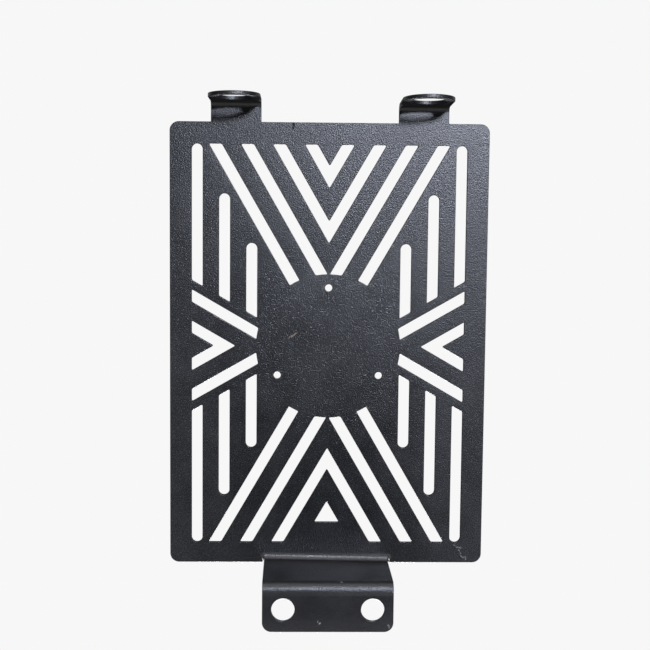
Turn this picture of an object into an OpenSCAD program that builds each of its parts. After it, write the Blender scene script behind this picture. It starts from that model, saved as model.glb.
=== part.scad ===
// Motorcycle radiator guard: one laser-cut and folded steel sheet.
// A slotted upright face, two round eye tabs folded forward at the top, and a
// stepped tab with two holes folded forward and down again at the bottom.
// Frame: +Z up, -Y towards the folded tabs (the front), origin at the centre
// of the plain disc, on the front surface of the face.

/* [Sheet] */
// Thickness of the steel sheet, coating included
sheet_t = 2; // [1.5:0.1:2.5]
// Inner radius of every fold
bend_r = 3; // [1:0.25:3.5]

/* [Face] */
// Width of the face
face_w = 175; // [174:1:190]
// Top edge of the face above the disc centre
face_top = 123; // [120:0.5:128]
// Bottom edge of the face below the disc centre
face_bottom = 122.5; // [121:0.5:124]
// Corner radius of the face
face_corner_r = 5; // [3:0.5:9]

/* [Slot pattern] */
// Width of every slot
slot_w = 6; // [4:0.5:7]
// Height of the slot pattern above and below the disc centre
slot_top = 111; // [108:0.5:112]
// Distance of the outermost upright slot from the centre line
upright_x = 72.5; // [72:0.5:74]
// Spacing of the upright slots
upright_pitch = 15; // [14:0.5:16]
// Drop of each further upright slot's outer end
upright_step = 27; // [24:1:30]
// Distance of the outermost diagonal from the centre line, at slot_top
diagonal_x = 62.6; // [61:0.1:64]
// Spacing of the diagonals, measured along slot_top
diagonal_pitch = 17.5; // [17:0.1:18]
// Angle of the diagonals above horizontal
diagonal_angle = 60; // [59:0.5:61]
// Distance at which the inner side chevron's centre line meets mid height
chevron_x = 27.4; // [26:0.1:29]
// Spacing of the side chevrons along mid height
chevron_pitch = 30; // [28:0.5:32]
// Angle of the side chevrons above horizontal
chevron_angle = 30; // [29:0.5:31]
// Distance at which the line of the slanted slot ends meets mid height
slant_x = 12.4; // [10:0.1:14]
// Length by which each slot corner is eased, along both its sides
corner_ease = 0.8; // [0.2:0.1:1.2]

/* [Disc] */
// Diameter of the plain disc in the middle
disc_d = 80; // [76:0.5:81]
// Diameter of the circle through the three badge holes
badge_pcd = 65; // [55:0.5:68]
// Diameter of each badge hole
badge_hole_d = 4; // [3:0.1:5]

/* [Eye tabs] */
// Width of the eye tabs, which is also the diameter of their round ends
eye_w = 27.5; // [26:0.1:29]
// Distance of each eye tab's centre line from the middle
eye_x = 51.3; // [48:0.1:54]
// Reach of the eye's hole centre in front of the face
eye_reach = 21; // [16:0.5:25]
// Diameter of the eye's hole
eye_hole_d = 20; // [14:0.1:21]
// Height of the left eye's top surface above the disc centre, at its fold
eye_top_l = 135.6; // [133:0.1:138]
// Height of the right eye's top surface above the disc centre, at its fold
eye_top_r = 133.9; // [133:0.1:138]
// Rise of the left eye's tip from level, per mm of its length
eye_rise_l = 0.02742; // [0.01:0.00001:0.08]
// Rise of the right eye's tip from level, per mm of its length
eye_rise_r = 0.06129; // [0.01:0.00001:0.08]

/* [Bottom tab] */
// Width of the bottom tab
tab_w = 69.6; // [66:0.1:72]
// Height of the shelf's top surface below the disc centre
shelf_drop = 120.6; // [117:0.1:121]
// Distance of the flange's front surface in front of the face
flange_reach = 40; // [30:0.1:60]
// Height of the flange below the shelf's top surface
flange_h = 26.4; // [23:0.1:30]
// Corner radius at the flange's lower corners
flange_corner_r = 5; // [3:0.5:7]
// Diameter of the two flange holes
flange_hole_d = 12.4; // [8:0.1:13]
// Centre distance of the two flange holes
flange_hole_pitch = 47.5; // [40:0.1:48]
// Height of the flange holes above the flange's lower edge
flange_hole_rise = 12; // [9:0.1:12.5]
// Width of the relief notch on each side of the tab
relief_w = 1.1; // [1:0.1:2.5]
// Depth of the relief notch above the face's lower edge
relief_h = 2; // [1.5:0.1:3]

/* [Hidden] */
$fn = 64;
bend_out_r = bend_r + sheet_t;
disc_r = disc_d / 2;
field_x = upright_x + slot_w / 2;
over = 1;

// ---- points and lines in the plane of the face, as [x, z] ----

function unit(v) = v / norm(v);
function turn(a, b) = atan2(a[0] * b[1] - a[1] * b[0], a[0] * b[0] + a[1] * b[1]);

// Arc points round centre c from direction a0 through da, in n steps
function arc(c, r, a0, da, n) =
    [for (k = [0:n]) c + r * [cos(a0 + da * k / n), sin(a0 + da * k / n)]];

// One corner p, coming from a and going to b, eased by the length t
function eased_corner(a, p, b, t) =
    let (u = unit(a - p), v = unit(b - p),
         half = acos(max(-1, min(1, u * v))) / 2,
         s = min(t, 0.45 * norm(a - p), 0.45 * norm(b - p)))
    half > 80 ? [p]
    : let (c = p + unit(u + v) * s / cos(half), q = p + u * s - c)
      arc(c, norm(q), atan2(q[1], q[0]), turn(q, p + v * s - c), 5);

function eased(pts, t) =
    let (n = len(pts))
    [for (i = [0:n - 1]) each eased_corner(pts[(i + n - 1) % n], pts[i], pts[(i + 1) % n], t)];

// A line at angle a whose signed distance from the disc centre is c, measured
// towards d = [sin a, -cos a]: its point at height z, and at distance x
function at_z(a, c, z) = [(c + z * cos(a)) / sin(a), z];
function at_x(a, c, x) = [x, (x * sin(a) - c) / cos(a)];
// Its point on the disc, and that point's direction
function at_disc(a, c) =
    c * [sin(a), -cos(a)] + sqrt(disc_r * disc_r - c * c) * [cos(a), sin(a)];
function dir(p) = atan2(p[1], p[0]);

// Signed distance of diagonal k's centre line, and of side chevron k's
function diagonal_c(k) =
    (diagonal_x - k * diagonal_pitch) * sin(diagonal_angle) - slot_top * cos(diagonal_angle);
function chevron_c(k) = (chevron_x + k * chevron_pitch) * sin(chevron_angle);

// Slot that ends on the disc: outer points p and q, and the lines' distances
function disc_slot(a, c1, c2, p, q) =
    let (d1 = dir(at_disc(a, c1)), d2 = dir(at_disc(a, c2)))
    concat([p], arc([0, 0], disc_r, d1, d2 - d1, 4), [q]);

// ---- the slots of one quadrant, x and z positive ----

// Upright slot k: round at its outer end, slanted at its inner end
module upright_slot(k) {
    x = upright_x - k * upright_pitch;
    z = slot_top - slot_w / 2 - k * upright_step;
    r = slot_w / 2;
    c = slant_x * sin(chevron_angle);
    lo = at_x(chevron_angle, c, x - r);
    hi = at_x(chevron_angle, c, x + r);
    ring = concat([lo, hi], arc([x, z], r, 0, 180, 16));
    polygon(eased(ring, corner_ease));
}

// Diagonal slot k, from slot_top to the disc
module diagonal_slot(k) {
    c1 = diagonal_c(k) + slot_w / 2;
    c2 = diagonal_c(k) - slot_w / 2;
    a = diagonal_angle;
    polygon(eased(disc_slot(a, c1, c2, at_z(a, c1, slot_top), at_z(a, c2, slot_top)), corner_ease));
}

// Inner side chevron's arm, from the disc to the outer edge of the field
module chevron_arm() {
    c1 = chevron_c(0) + slot_w / 2;
    c2 = chevron_c(0) - slot_w / 2;
    a = chevron_angle;
    polygon(eased(disc_slot(a, c1, c2, at_x(a, c1, field_x), at_x(a, c2, field_x)), corner_ease));
}

// ---- the slots that cross a centre line ----

// V slot k of the diagonals, opening towards slot_top
module v_slot(k) {
    a = diagonal_angle;
    c1 = diagonal_c(k) + slot_w / 2;
    c2 = diagonal_c(k) - slot_w / 2;
    p = at_z(a, c1, slot_top);
    q = at_z(a, c2, slot_top);
    outer = [0, -c1 / cos(a)];
    inner = [0, -c2 / cos(a)];
    polygon(eased([outer, p, q, inner, [-q[0], q[1]], [-p[0], p[1]]], corner_ease));
}

// Small triangle, with its apex towards the disc
module triangle_slot() {
    a = diagonal_angle;
    c1 = diagonal_c(3) + slot_w / 2;
    base = -(diagonal_c(3) - slot_w / 2) / cos(a);
    p = at_z(a, c1, base);
    polygon(eased([[0, -c1 / cos(a)], p, [-p[0], p[1]]], corner_ease));
}

// Outer side chevron, opening outwards
module side_chevron() {
    a = chevron_angle;
    c1 = chevron_c(1) - slot_w / 2;
    c2 = chevron_c(1) + slot_w / 2;
    p = at_x(a, c1, field_x);
    q = at_x(a, c2, field_x);
    tip = [c1 / sin(a), 0];
    notch = [c2 / sin(a), 0];
    polygon(eased([tip, [p[0], -p[1]], [q[0], -q[1]], notch, q, p], corner_ease));
}

module quadrant() {
    for (k = [0:2]) upright_slot(k);
    for (k = [0:1]) diagonal_slot(k);
    chevron_arm();
}

module slot_field() {
    for (sx = [0, 1], sz = [0, 1]) mirror([sx, 0, 0]) mirror([0, sz, 0]) quadrant();
    v_slot(2);
    v_slot(3);
    mirror([0, 1, 0]) v_slot(2);
    mirror([0, 1, 0]) triangle_slot();
    side_chevron();
    mirror([1, 0, 0]) side_chevron();
}

// ---- sheet parts ----

// Stands a drawing in the plane of the face up, from y to y + depth
module upright(y, depth) {
    translate([0, y + depth, 0]) rotate([90, 0, 0]) linear_extrude(height = depth) children();
}

// Rectangle with true round corners at its ends given by top and bottom
module round_plate(x0, x1, z0, z1, r, y, depth, round_top = true) {
    translate([x0 + r, y, z0]) cube([x1 - x0 - 2 * r, depth, z1 - z0]);
    translate([x0, y, z0 + r]) cube([x1 - x0, depth, z1 - z0 - (round_top ? 2 : 1) * r]);
    for (x = [x0 + r, x1 - r], z = round_top ? [z0 + r, z1 - r] : [z0 + r])
        translate([x, y, z]) rotate([-90, 0, 0]) cylinder(r = r, h = depth);
}

// Fold of the sheet, w wide along X: a quarter ring round the X axis from
// direction a0 through da, both in the Y-Z plane
module fold(w, a0, da) {
    rotate([0, 90, 0]) rotate([0, 0, 90 + a0])
        translate([0, 0, -w / 2])
            rotate_extrude(angle = da) translate([bend_r, 0]) square([sheet_t, w]);
}

// Face: the blank, its slots, the badge holes and the room beside the tab
module face() {
    difference() {
        round_plate(-face_w / 2, face_w / 2, -face_bottom, face_top, face_corner_r, 0, sheet_t);
        upright(-over, sheet_t + 2 * over) slot_field();
        for (a = [90, 210, 330])
            translate([badge_pcd / 2 * cos(a), -over, badge_pcd / 2 * sin(a)])
                rotate([-90, 0, 0]) cylinder(d = badge_hole_d, h = sheet_t + 2 * over);
        translate([-tab_w / 2 - relief_w, -over, -face_bottom - over])
            cube([tab_w + 2 * relief_w, sheet_t + 2 * over, relief_h + over]);
        translate([-tab_w / 2, -over, -face_bottom - over])
            cube([tab_w, sheet_t + 2 * over, face_bottom - shelf_drop + bend_r + over]);
    }
}

// Eye tab: upright stem, fold, and the round eye with its hole. The fold stops
// short of a full quarter, so the eye's tip rises
module eye_tab(top, rise) {
    zc = top - bend_out_r;
    lift = asin(rise);
    reach = eye_reach - bend_r;
    translate([-eye_w / 2, 0, face_top - over]) cube([eye_w, sheet_t, zc - face_top + over]);
    translate([0, -bend_r, zc]) {
        difference() {
            fold(eye_w, 0, 90);
            rotate([-lift, 0, 0]) translate([-eye_w / 2 - over, -over, 0])
                cube([eye_w + 2 * over, over, bend_out_r + over]);
        }
        rotate([-lift, 0, 0]) difference() {
            union() {
                translate([-eye_w / 2, -reach, bend_r]) cube([eye_w, reach, sheet_t]);
                translate([0, -reach, bend_r]) cylinder(d = eye_w, h = sheet_t);
            }
            translate([0, -reach, bend_r - over]) cylinder(d = eye_hole_d, h = sheet_t + 2 * over);
        }
    }
}

// Bottom tab: fold forward, level shelf, fold down, flange with two holes
module bottom_tab() {
    shelf_end = flange_reach - bend_out_r;
    flange_low = -shelf_drop - flange_h;
    translate([0, -bend_r, -shelf_drop + bend_r]) fold(tab_w, -90, 90);
    translate([-tab_w / 2, -shelf_end, -shelf_drop - sheet_t])
        cube([tab_w, shelf_end - bend_r, sheet_t]);
    translate([0, -shelf_end, -shelf_drop - bend_out_r]) fold(tab_w, 90, 90);
    difference() {
        round_plate(-tab_w / 2, tab_w / 2, flange_low, -shelf_drop - bend_out_r,
                    flange_corner_r, -flange_reach, sheet_t, round_top = false);
        for (s = [-1, 1])
            translate([s * flange_hole_pitch / 2, -flange_reach - over, flange_low + flange_hole_rise])
                rotate([-90, 0, 0]) cylinder(d = flange_hole_d, h = sheet_t + 2 * over);
    }
}

// The whole guard, folded from one sheet
module guard_plate() {
    color([0.07, 0.07, 0.08]) union() {
        face();
        translate([-eye_x, 0, 0]) eye_tab(eye_top_l, eye_rise_l);
        translate([eye_x, 0, 0]) eye_tab(eye_top_r, eye_rise_r);
        bottom_tab();
    }
}

guard_plate();
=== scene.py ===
import math

import bmesh
import bpy
from mathutils import Matrix, Vector
from mathutils.bvhtree import BVHTree


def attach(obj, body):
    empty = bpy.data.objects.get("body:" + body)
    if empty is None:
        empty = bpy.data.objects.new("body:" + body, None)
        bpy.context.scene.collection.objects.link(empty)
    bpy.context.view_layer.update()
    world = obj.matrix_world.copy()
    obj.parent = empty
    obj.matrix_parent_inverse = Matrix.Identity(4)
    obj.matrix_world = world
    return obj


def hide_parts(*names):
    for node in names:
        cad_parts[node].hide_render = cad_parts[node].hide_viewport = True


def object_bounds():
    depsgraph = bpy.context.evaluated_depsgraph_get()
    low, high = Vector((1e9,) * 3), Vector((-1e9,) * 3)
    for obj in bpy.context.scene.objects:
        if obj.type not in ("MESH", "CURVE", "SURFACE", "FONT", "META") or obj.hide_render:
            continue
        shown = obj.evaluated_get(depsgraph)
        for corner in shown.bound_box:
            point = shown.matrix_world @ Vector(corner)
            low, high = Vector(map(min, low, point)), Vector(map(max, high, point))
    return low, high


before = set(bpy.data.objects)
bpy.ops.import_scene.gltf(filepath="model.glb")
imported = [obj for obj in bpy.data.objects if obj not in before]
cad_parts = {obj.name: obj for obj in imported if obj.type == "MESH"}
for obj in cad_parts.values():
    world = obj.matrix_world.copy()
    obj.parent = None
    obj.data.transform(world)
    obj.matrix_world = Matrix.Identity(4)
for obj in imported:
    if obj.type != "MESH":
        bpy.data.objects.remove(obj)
cad_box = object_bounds()

EDGE_ROUND = 0.00028     # how far the coating rounds the sheet's edges
FOLD_SKEW = 0.010        # slope of the bottom tab's upper fold line, as bent
WHITE = 0.930            # the even pale background, linear


# ---- the sheet: the CAD solid with its cut edges rounded by the coating ----

def rounded_sheet(node, name):
    bm = bmesh.new()
    bm.from_mesh(node.data)
    bmesh.ops.remove_doubles(bm, verts=bm.verts, dist=2e-6)
    bmesh.ops.dissolve_degenerate(bm, dist=1e-6, edges=bm.edges)
    bmesh.ops.dissolve_limit(bm, angle_limit=math.radians(0.4), verts=bm.verts, edges=bm.edges,
                             use_dissolve_boundaries=False, delimit=set())
    bm.normal_update()
    solid = BVHTree.FromBMesh(bm)
    # every sharp edge is rounded, apart from those between slivers
    cut = [e for e in bm.edges if len(e.link_faces) == 2 and e.calc_face_angle(0) > math.radians(60)]
    rims = [e for e in cut if max(f.calc_area() for f in e.link_faces) >= 1e-9]
    bmesh.ops.bevel(bm, geom=rims, offset=EDGE_ROUND, offset_type="OFFSET", segments=2, profile=0.5,
                    affect="EDGES", clamp_overlap=False, loop_slide=False, material=-1)
    # where three rims meet, a rounded corner may overshoot: it goes back to the solid
    for v in bm.verts:
        near, _, _, gap = solid.find_nearest(v.co)
        if gap > 0.00012:
            v.co = near
        for i in range(3):
            v.co[i] = min(max(v.co[i], cad_box[0][i]), cad_box[1][i])
    # the upper fold of the bottom tab runs a little out of level and drops toward its right end
    for v in bm.verts:
        x, y, z = v.co
        if abs(x) < 0.0349 and y > -0.0040 and -0.1236 < z < -0.1174:
            v.co.z = z - FOLD_SKEW * x - 0.5 * max(x, 0.0) ** 2
    bmesh.ops.remove_doubles(bm, verts=bm.verts, dist=1e-7)
    bmesh.ops.triangulate(bm, faces=[f for f in bm.faces if len(f.verts) > 4], quad_method="BEAUTY", ngon_method="BEAUTY")
    for f in bm.faces:
        f.smooth = True
    mesh = bpy.data.meshes.new(name)
    bm.to_mesh(mesh)
    bm.free()
    obj = bpy.data.objects.new(name, mesh)
    bpy.context.scene.collection.objects.link(obj)
    weight = obj.modifiers.new("even_shading", "WEIGHTED_NORMAL")
    weight.mode = "FACE_AREA"
    weight.weight = 50
    weight.keep_sharp = False
    return obj


# ---- powder coat ----

class Nodes:
    """Short calls for a material's node tree."""

    def __init__(self, name):
        self.mat = bpy.data.materials.new(name)
        self.mat.use_nodes = True
        self.tree = self.mat.node_tree
        self.tree.nodes.clear()

    def add(self, kind, inputs=(), **props):
        n = self.tree.nodes.new(kind)
        for k, v in props.items():
            setattr(n, k, v)
        for k, v in dict(inputs).items():
            if isinstance(v, bpy.types.NodeSocket):
                self.tree.links.new(v, n.inputs[k])
            else:
                n.inputs[k].default_value = v
        return n

    def math(self, op, a, b=0.0, c=0.0, clamp=False):
        return self.add("ShaderNodeMath", {0: a, 1: b, 2: c}, operation=op, use_clamp=clamp).outputs[0]

    def noise(self, where, scale, detail=2.0, rough=0.5, distortion=0.0):
        return self.add("ShaderNodeTexNoise", {"Vector": where, "Scale": scale, "Detail": detail,
                        "Roughness": rough, "Distortion": distortion}).outputs["Fac"]

    def ramp(self, value, lo, hi, out_lo=0.0, out_hi=1.0):
        return self.add("ShaderNodeMapRange", {"Value": value, "From Min": lo, "From Max": hi,
                        "To Min": out_lo, "To Max": out_hi}, clamp=True, interpolation_type="SMOOTHSTEP").outputs[0]

    def mix(self, fac, a, b):
        n = self.add("ShaderNodeMix", {"Factor": fac}, data_type="RGBA")
        for k, v in ((6, a), (7, b)):
            if isinstance(v, bpy.types.NodeSocket):
                self.tree.links.new(v, n.inputs[k])
            else:
                n.inputs[k].default_value = v
        return n.outputs[2]

    def scratch(self, where, a, b, width, soft):
        """1 on the line from a to b (metres), 0 a little away from it."""
        a, b = Vector(a), Vector(b)
        ab = b - a
        pa = self.add("ShaderNodeVectorMath", {0: where, 1: a}, operation="SUBTRACT").outputs[0]
        dot = self.add("ShaderNodeVectorMath", {0: pa, 1: ab / ab.length_squared}, operation="DOT_PRODUCT").outputs["Value"]
        t = self.math("MULTIPLY", dot, 1.0, clamp=True)
        on = self.add("ShaderNodeVectorMath", {0: ab, "Scale": t}, operation="SCALE").outputs[0]
        gap = self.add("ShaderNodeVectorMath", {0: pa, 1: on}, operation="DISTANCE").outputs["Value"]
        return self.ramp(gap, width, width + soft, 1.0, 0.0)


# Wear marks in millimetres: strokes as (from, to, half width, soft edge), then the
# colour laid bare or rubbed on, how strongly, and how much the gloss changes
WEAR = [
    # rubbed brownish double stroke on the disc
    ([((-21.8, 0, 4.7), (-19.8, 0, 6.2), 0.16, 0.45), ((-19.8, 0, 6.2), (-17.1, 0, 7.6), 0.14, 0.40),
      ((-20.4, 0, 5.0), (-18.1, 0, 6.8), 0.10, 0.35)], (0.25, 0.185, 0.130, 1), 0.55, 0.10),
    # trail of scrapes near the lower right corner
    ([((74.1, 0, -113.8), (75.7, 0, -114.0), 0.25, 0.55), ((75.0, 0, -115.0), (76.1, 0, -117.4), 0.12, 0.50),
      ((76.0, 0, -118.7), (77.4, 0, -119.6), 0.14, 0.45), ((77.4, 0, -119.6), (78.8, 0, -119.1), 0.12, 0.40),
      ((78.8, 0, -119.1), (78.7, 0, -120.7), 0.12, 0.45), ((72.0, 0, -112.3), (74.0, 0, -113.7), 0.05, 0.45)],
     (0.20, 0.20, 0.205, 1), 0.50, 0.12),
    # short dark scrape below the top edge
    ([((-20.1, 0, 122.8), (-19.85, 0, 121.2), 0.30, 0.35), ((-19.85, 0, 121.2), (-20.2, 0, 119.6), 0.30, 0.35)],
     (0.001, 0.001, 0.001, 1), 1.4, 0.50),
    # specks near the flange's lower edge
    ([((-4.7, -40, -142.6), (-3.9, -40, -141.9), 0.10, 0.34), ((-5.3, -40, -140.8), (-5.2, -40, -141.6), 0.0, 0.22)],
     (0.36, 0.36, 0.36, 1), 0.70, 0.1),
    ([((32.0, -40, -143.2), (32.7, -40, -143.8), 0.14, 0.45), ((32.7, -40, -143.8), (32.4, -40, -144.7), 0.12, 0.45)],
     (0.18, 0.18, 0.19, 1), 0.6, 0.1),
    # faint rubbed streaks on the shelf and specks before its fold
    ([((0.7, -25.9, -120.6), (3.6, -25.9, -120.6), 0.10, 1.2), ((6.3, -26.0, -120.6), (14.7, -27.6, -120.6), 0.08, 1.2),
      ((2.2, -20.3, -120.6), (5.4, -20.7, -120.6), 0.05, 1.2), ((19.5, -35.0, -120.6), (21.4, -35.2, -120.6), 0.10, 1.3)],
     (0.085, 0.085, 0.09, 1), 0.40, 0.1),
    ([((6.9, -36.6, -120.8), (7.3, -36.9, -120.9), 0.22, 0.40), ((34.2, -39.9, -124.9), (34.7, -39.9, -125.3), 0.2, 0.4)],
     (0.26, 0.26, 0.27, 1), 0.6, 0.0),
    # worn rim along one side slot's lower edge
    ([((-63.2, 0, 16.9), (-49.1, 0, 9.5), 0.14, 0.35)], (0.22, 0.195, 0.155, 1), 0.55, 0.1),
]

# Folds of the bottom tab, partly rubbed in the press and partly painted highlight: each band sits where the key light's
# highlight falls on the fold.
# Columns: from, to, half width and soft edge in millimetres, an even tint that lightens the shade beside the fold, the
# colour rubbed bare and painted highlight, how strongly, and the added roughness, over all of the fold and again toward
# its right end
FOLD_RUBS_AND_PAINTED_HIGHLIGHTS = [
    ((-34.8, -0.3, -118.9), (34.8, -0.3, -119.5), 1.3, 1.2, (0.013, 0.0120, 0.011, 1), (0.050, 0.044, 0.039, 1), 0.55,
     0.052, 0.100),
    ((-34.8, -39.6, -124.6), (34.8, -39.6, -124.6), 1.9, 1.4, (0.009, 0.009, 0.009, 1), (0.026, 0.026, 0.026, 1), 0.40,
     0.036, 0.078),
]


def powder_coat():
    m = Nodes("powder_coat")
    where = m.add("ShaderNodeTexCoord").outputs["Object"]
    grain = m.noise(where, 1500.0, 1.0, 0.5)
    peel = m.noise(where, 420.0, 2.0, 0.5)
    cloud = m.noise(where, 55.0, 3.0, 0.55)
    wide = m.noise(where, 16.0, 2.0, 0.5)

    # fine texture of the coating, as height in metres
    middle = m.add("ShaderNodeVectorMath", {0: where}, operation="LENGTH").outputs["Value"]
    coarse = m.ramp(middle, 0.034, 0.060, 0.000230, 0.000165)
    height = m.math("ADD", m.math("MULTIPLY", m.math("SUBTRACT", grain, 0.5), coarse),
                    m.math("MULTIPLY", m.math("SUBTRACT", peel, 0.5), 0.00008))

    # the cut walls inside the slots and holes are thinly coated: even and duller
    xyz = m.add("ShaderNodeSeparateXYZ", {0: where}).outputs
    inside_face = m.math("MULTIPLY", m.ramp(xyz["Y"], 0.0003, 0.0005), m.ramp(xyz["Y"], 0.0015, 0.0017, 1.0, 0.0))
    inside_face = m.math("MULTIPLY", inside_face, m.math("LESS_THAN", m.math("ABSOLUTE", xyz["Z"]), 0.117))
    inside_flange = m.math("MULTIPLY", m.ramp(xyz["Y"], -0.0397, -0.0395), m.ramp(xyz["Y"], -0.0385, -0.0383, 1.0, 0.0))
    inside_flange = m.math("MULTIPLY", inside_flange, m.math("LESS_THAN", xyz["Z"], -0.1262))
    wall = m.math("ADD", inside_face, inside_flange)
    height = m.math("MULTIPLY", height, m.math("SUBTRACT", 1.0, wall))

    # flecks: tiny specks of dust and brighter grains in the coat
    fleck = m.ramp(m.noise(where, 900.0, 1.0, 0.5), 0.70, 0.76)

    colour = m.mix(m.ramp(cloud, 0.3, 0.7), (0.0040, 0.0041, 0.0046, 1), (0.0065, 0.0066, 0.0074, 1))
    colour = m.mix(m.math("MULTIPLY", fleck, 0.4), colour, (0.060, 0.062, 0.070, 1))
    rough = m.math("ADD", m.ramp(cloud, 0.25, 0.75, 0.38, 0.43), m.ramp(wide, 0.3, 0.7, -0.012, 0.012))

    # the coat lies a little smoother in the lower middle of the face than along its sides
    inward = m.ramp(m.math("ABSOLUTE", m.math("ADD", xyz["X"], 0.008)), 0.020, 0.088, 1.0, 0.0)
    lower = m.ramp(xyz["Z"], -0.005, 0.100, 1.0, 0.0)
    rough = m.math("SUBTRACT", rough, m.math("MULTIPLY", m.math("MULTIPLY", inward, lower), 0.094))

    # painted reflection of a pale floor: lighter toward the flange's lower edge, and less so over the shelf's front
    # part
    painted_floor_reflection = m.math("MULTIPLY", m.ramp(xyz["Y"], -0.034, -0.024, 1.0, 0.0), m.ramp(xyz["Z"], -0.1450, -0.1350, 1.0, 0.40))
    colour = m.mix(painted_floor_reflection, colour, (0.0165, 0.0160, 0.0160, 1))

    # wear: strokes drawn with a slightly wavering line, broken up by the grain
    waver = m.add("ShaderNodeTexNoise", {"Vector": where, "Scale": 700.0, "Detail": 2.0}).outputs["Color"]
    sway = m.add("ShaderNodeVectorMath", {0: waver, 1: (0.5, 0.5, 0.5)}, operation="SUBTRACT").outputs[0]
    sway = m.add("ShaderNodeVectorMath", {0: sway, "Scale": 0.0011}, operation="SCALE").outputs[0]
    there = m.add("ShaderNodeVectorMath", {0: where, 1: sway}, operation="ADD").outputs[0]
    broken = m.ramp(m.noise(where, 800.0, 2.0, 0.6), 0.36, 0.56, 0.25, 1.0)

    rough = m.math("ADD", rough, m.math("MULTIPLY", wall, 0.22))

    to_right = m.ramp(xyz["X"], -0.024, 0.030)
    # painted light along the folds, mixed with rubbed wear: an even tint lightens the shade beside each fold, and a
    # lighter colour tints the highlight line
    for a, b, width, soft, even, rubbed_bare_and_highlight, strength, matt, more in FOLD_RUBS_AND_PAINTED_HIGHLIGHTS:
        mask = m.scratch(where, [c / 1000 for c in a], [c / 1000 for c in b], width / 1000, soft / 1000)
        colour = m.mix(mask, colour, even)
        colour = m.mix(m.math("MULTIPLY", m.math("MULTIPLY", mask, broken), strength), colour, rubbed_bare_and_highlight)
        extra = m.math("ADD", m.math("MULTIPLY", to_right, more), matt)
        rough = m.math("ADD", rough, m.math("MULTIPLY", mask, extra))

    for strokes, tint, strength, matt in WEAR:
        mask = None
        for a, b, width, soft in strokes:
            one = m.scratch(there, [c / 1000 for c in a], [c / 1000 for c in b], width / 1000, soft / 1000)
            mask = one if mask is None else m.math("MAXIMUM", mask, one)
        mask = m.math("MULTIPLY", m.math("MULTIPLY", mask, broken), strength)
        colour = m.mix(mask, colour, tint)
        rough = m.math("ADD", rough, m.math("MULTIPLY", mask, matt), clamp=True)

    out = m.add("ShaderNodeBsdfPrincipled", {"Base Color": colour, "Roughness": rough, "Metallic": 0.0,
                "IOR": 1.5, "Specular IOR Level": 0.5})
    bump = m.add("ShaderNodeBump", {"Strength": 1.0, "Distance": 1.0, "Height": height})
    m.tree.links.new(bump.outputs["Normal"], out.inputs["Normal"])
    end = m.add("ShaderNodeOutputMaterial")
    m.tree.links.new(out.outputs[0], end.inputs["Surface"])
    return m.mat


def plain(name, strength):
    m = Nodes(name)
    glow = m.add("ShaderNodeEmission", {"Color": (1, 1, 1, 1), "Strength": strength})
    end = m.add("ShaderNodeOutputMaterial")
    m.tree.links.new(glow.outputs[0], end.inputs["Surface"])
    return m.mat


guard = rounded_sheet(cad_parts["guard_plate"], "coated_guard")
guard.data.materials.append(powder_coat())
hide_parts("guard_plate")
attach(guard, "root")


# ---- camera, at the photograph's viewing point ----

def rotation(x, y, z):
    c, s = math.cos, math.sin
    rx = Matrix(((1, 0, 0), (0, c(x), -s(x)), (0, s(x), c(x))))
    ry = Matrix(((c(y), 0, s(y)), (0, 1, 0), (-s(y), 0, c(y))))
    rz = Matrix(((c(z), -s(z), 0), (s(z), c(z), 0), (0, 0, 1)))
    return rz @ rx @ ry @ Matrix(((1, 0, 0), (0, 0, -1), (0, 1, 0)))


FOCAL_PX, CENTRE_U, CENTRE_V = 1090.479, 317.418, 291.518
cam_data = bpy.data.cameras.new("camera")
cam = bpy.data.objects.new("camera", cam_data)
bpy.context.scene.collection.objects.link(cam)
r = rotation(0.08142, -0.02111, 0.00912)
axes = Matrix((r[0], -Vector(r[1]), -Vector(r[2]))).transposed()
cam.matrix_world = Matrix.Translation((-0.018868, -0.6, 0.079499)) @ axes.to_4x4()
cam_data.sensor_fit = "HORIZONTAL"
cam_data.sensor_width = 36.0
cam_data.lens = FOCAL_PX * 36.0 / 650.0
cam_data.shift_x = (325.0 - CENTRE_U) / 650.0
cam_data.shift_y = (CENTRE_V - 325.0) / 650.0
cam_data.clip_start, cam_data.clip_end = 0.01, 50.0
bpy.context.scene.camera = cam


# ---- floor, background and lights ----

scene = bpy.context.scene
scene.view_settings.view_transform = "Standard"
scene.view_settings.look = "None"

world = bpy.data.worlds.new("studio")
world.use_nodes = True
back = world.node_tree.nodes["Background"]
back.inputs["Color"].default_value = (1, 1, 1, 1)
back.inputs["Strength"].default_value = WHITE
scene.world = world
for ray in ("diffuse", "glossy", "transmission", "scatter"):
    setattr(world.cycles_visibility, ray, False)

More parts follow.
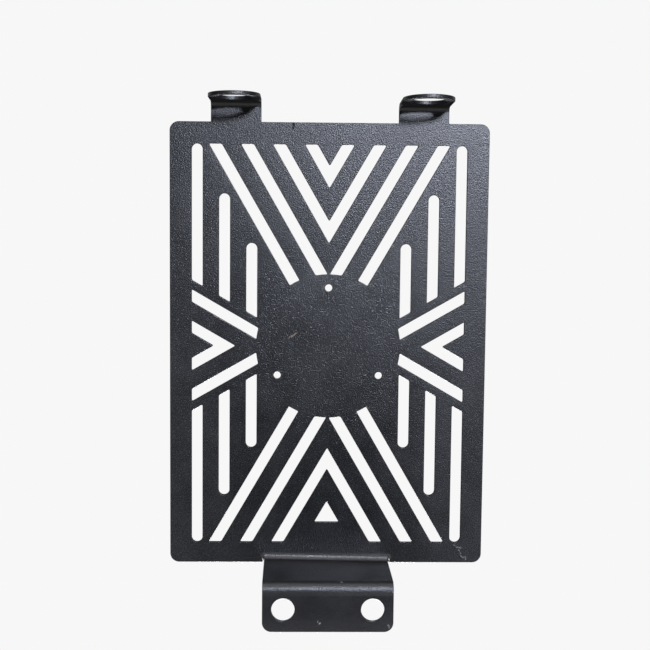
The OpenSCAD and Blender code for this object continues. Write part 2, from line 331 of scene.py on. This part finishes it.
bpy.ops.mesh.primitive_plane_add(size=12.0, location=(0, 0, -1.3))
floor = bpy.context.object
floor.name = "floor"
floor.data.materials.append(plain("floor_paper", WHITE))
floor.visible_diffuse = floor.visible_glossy = floor.visible_transmission = False
floor.visible_shadow = False


def softbox(name, azimuth, elevation, distance, size, power, colour=(1, 1, 1), aim=(0, 0, 0.02), spread=180.0):
    """An area light. Azimuth 0 is straight in front of the guard and 90 to its right."""
    a, e = math.radians(azimuth), math.radians(elevation)
    d = Vector((math.sin(a) * math.cos(e), -math.cos(a) * math.cos(e), math.sin(e)))
    data = bpy.data.lights.new(name, "AREA")
    data.shape = "RECTANGLE"
    data.size, data.size_y = size
    data.energy = power
    data.color = colour
    data.spread = math.radians(spread)
    o = bpy.data.objects.new(name, data)
    bpy.context.scene.collection.objects.link(o)
    o.location = Vector(aim) + d * distance
    o.rotation_euler = (-d).to_track_quat("-Z", "Y").to_euler()
    return o


softbox("key", 15.6, 18.7, 1.2, (0.12, 0.12), 21.0, (0.91, 0.97, 1.16), aim=(0, 0, 0.1))
softbox("low_left", -34.0, -20.0, 1.3, (0.4, 0.4), 1.6, (1.0, 0.99, 1.0), aim=(0, 0, 0.0))
softbox("low_right", 38.0, -15.0, 1.3, (0.4, 0.4), 2.2, (0.94, 0.97, 1.08), aim=(0, 0, 0.0))
softbox("low_front", 8.0, -44.0, 1.2, (1.2, 0.3), 1.7, (0.97, 0.98, 1.03), aim=(0, 0, -0.1))
softbox("under", 0.0, -76.0, 1.1, (1.0, 0.8), 3.0, (1.0, 0.98, 0.97), aim=(0, 0, 0.0))
softbox("top", 0.0, 72.0, 1.4, (0.8, 0.8), 5.2, (1.0, 0.99, 1.0), aim=(0, 0, 0.0))
softbox("back_left", -140.0, 8.0, 1.4, (0.9, 0.9), 1.6)
softbox("back_right", 140.0, 8.0, 1.4, (0.9, 0.9), 1.6)
softbox("back_low", 180.0, -38.0, 1.2, (0.35, 0.35), 12.0, (0.96, 0.98, 1.04), aim=(0, 0, 0.0))
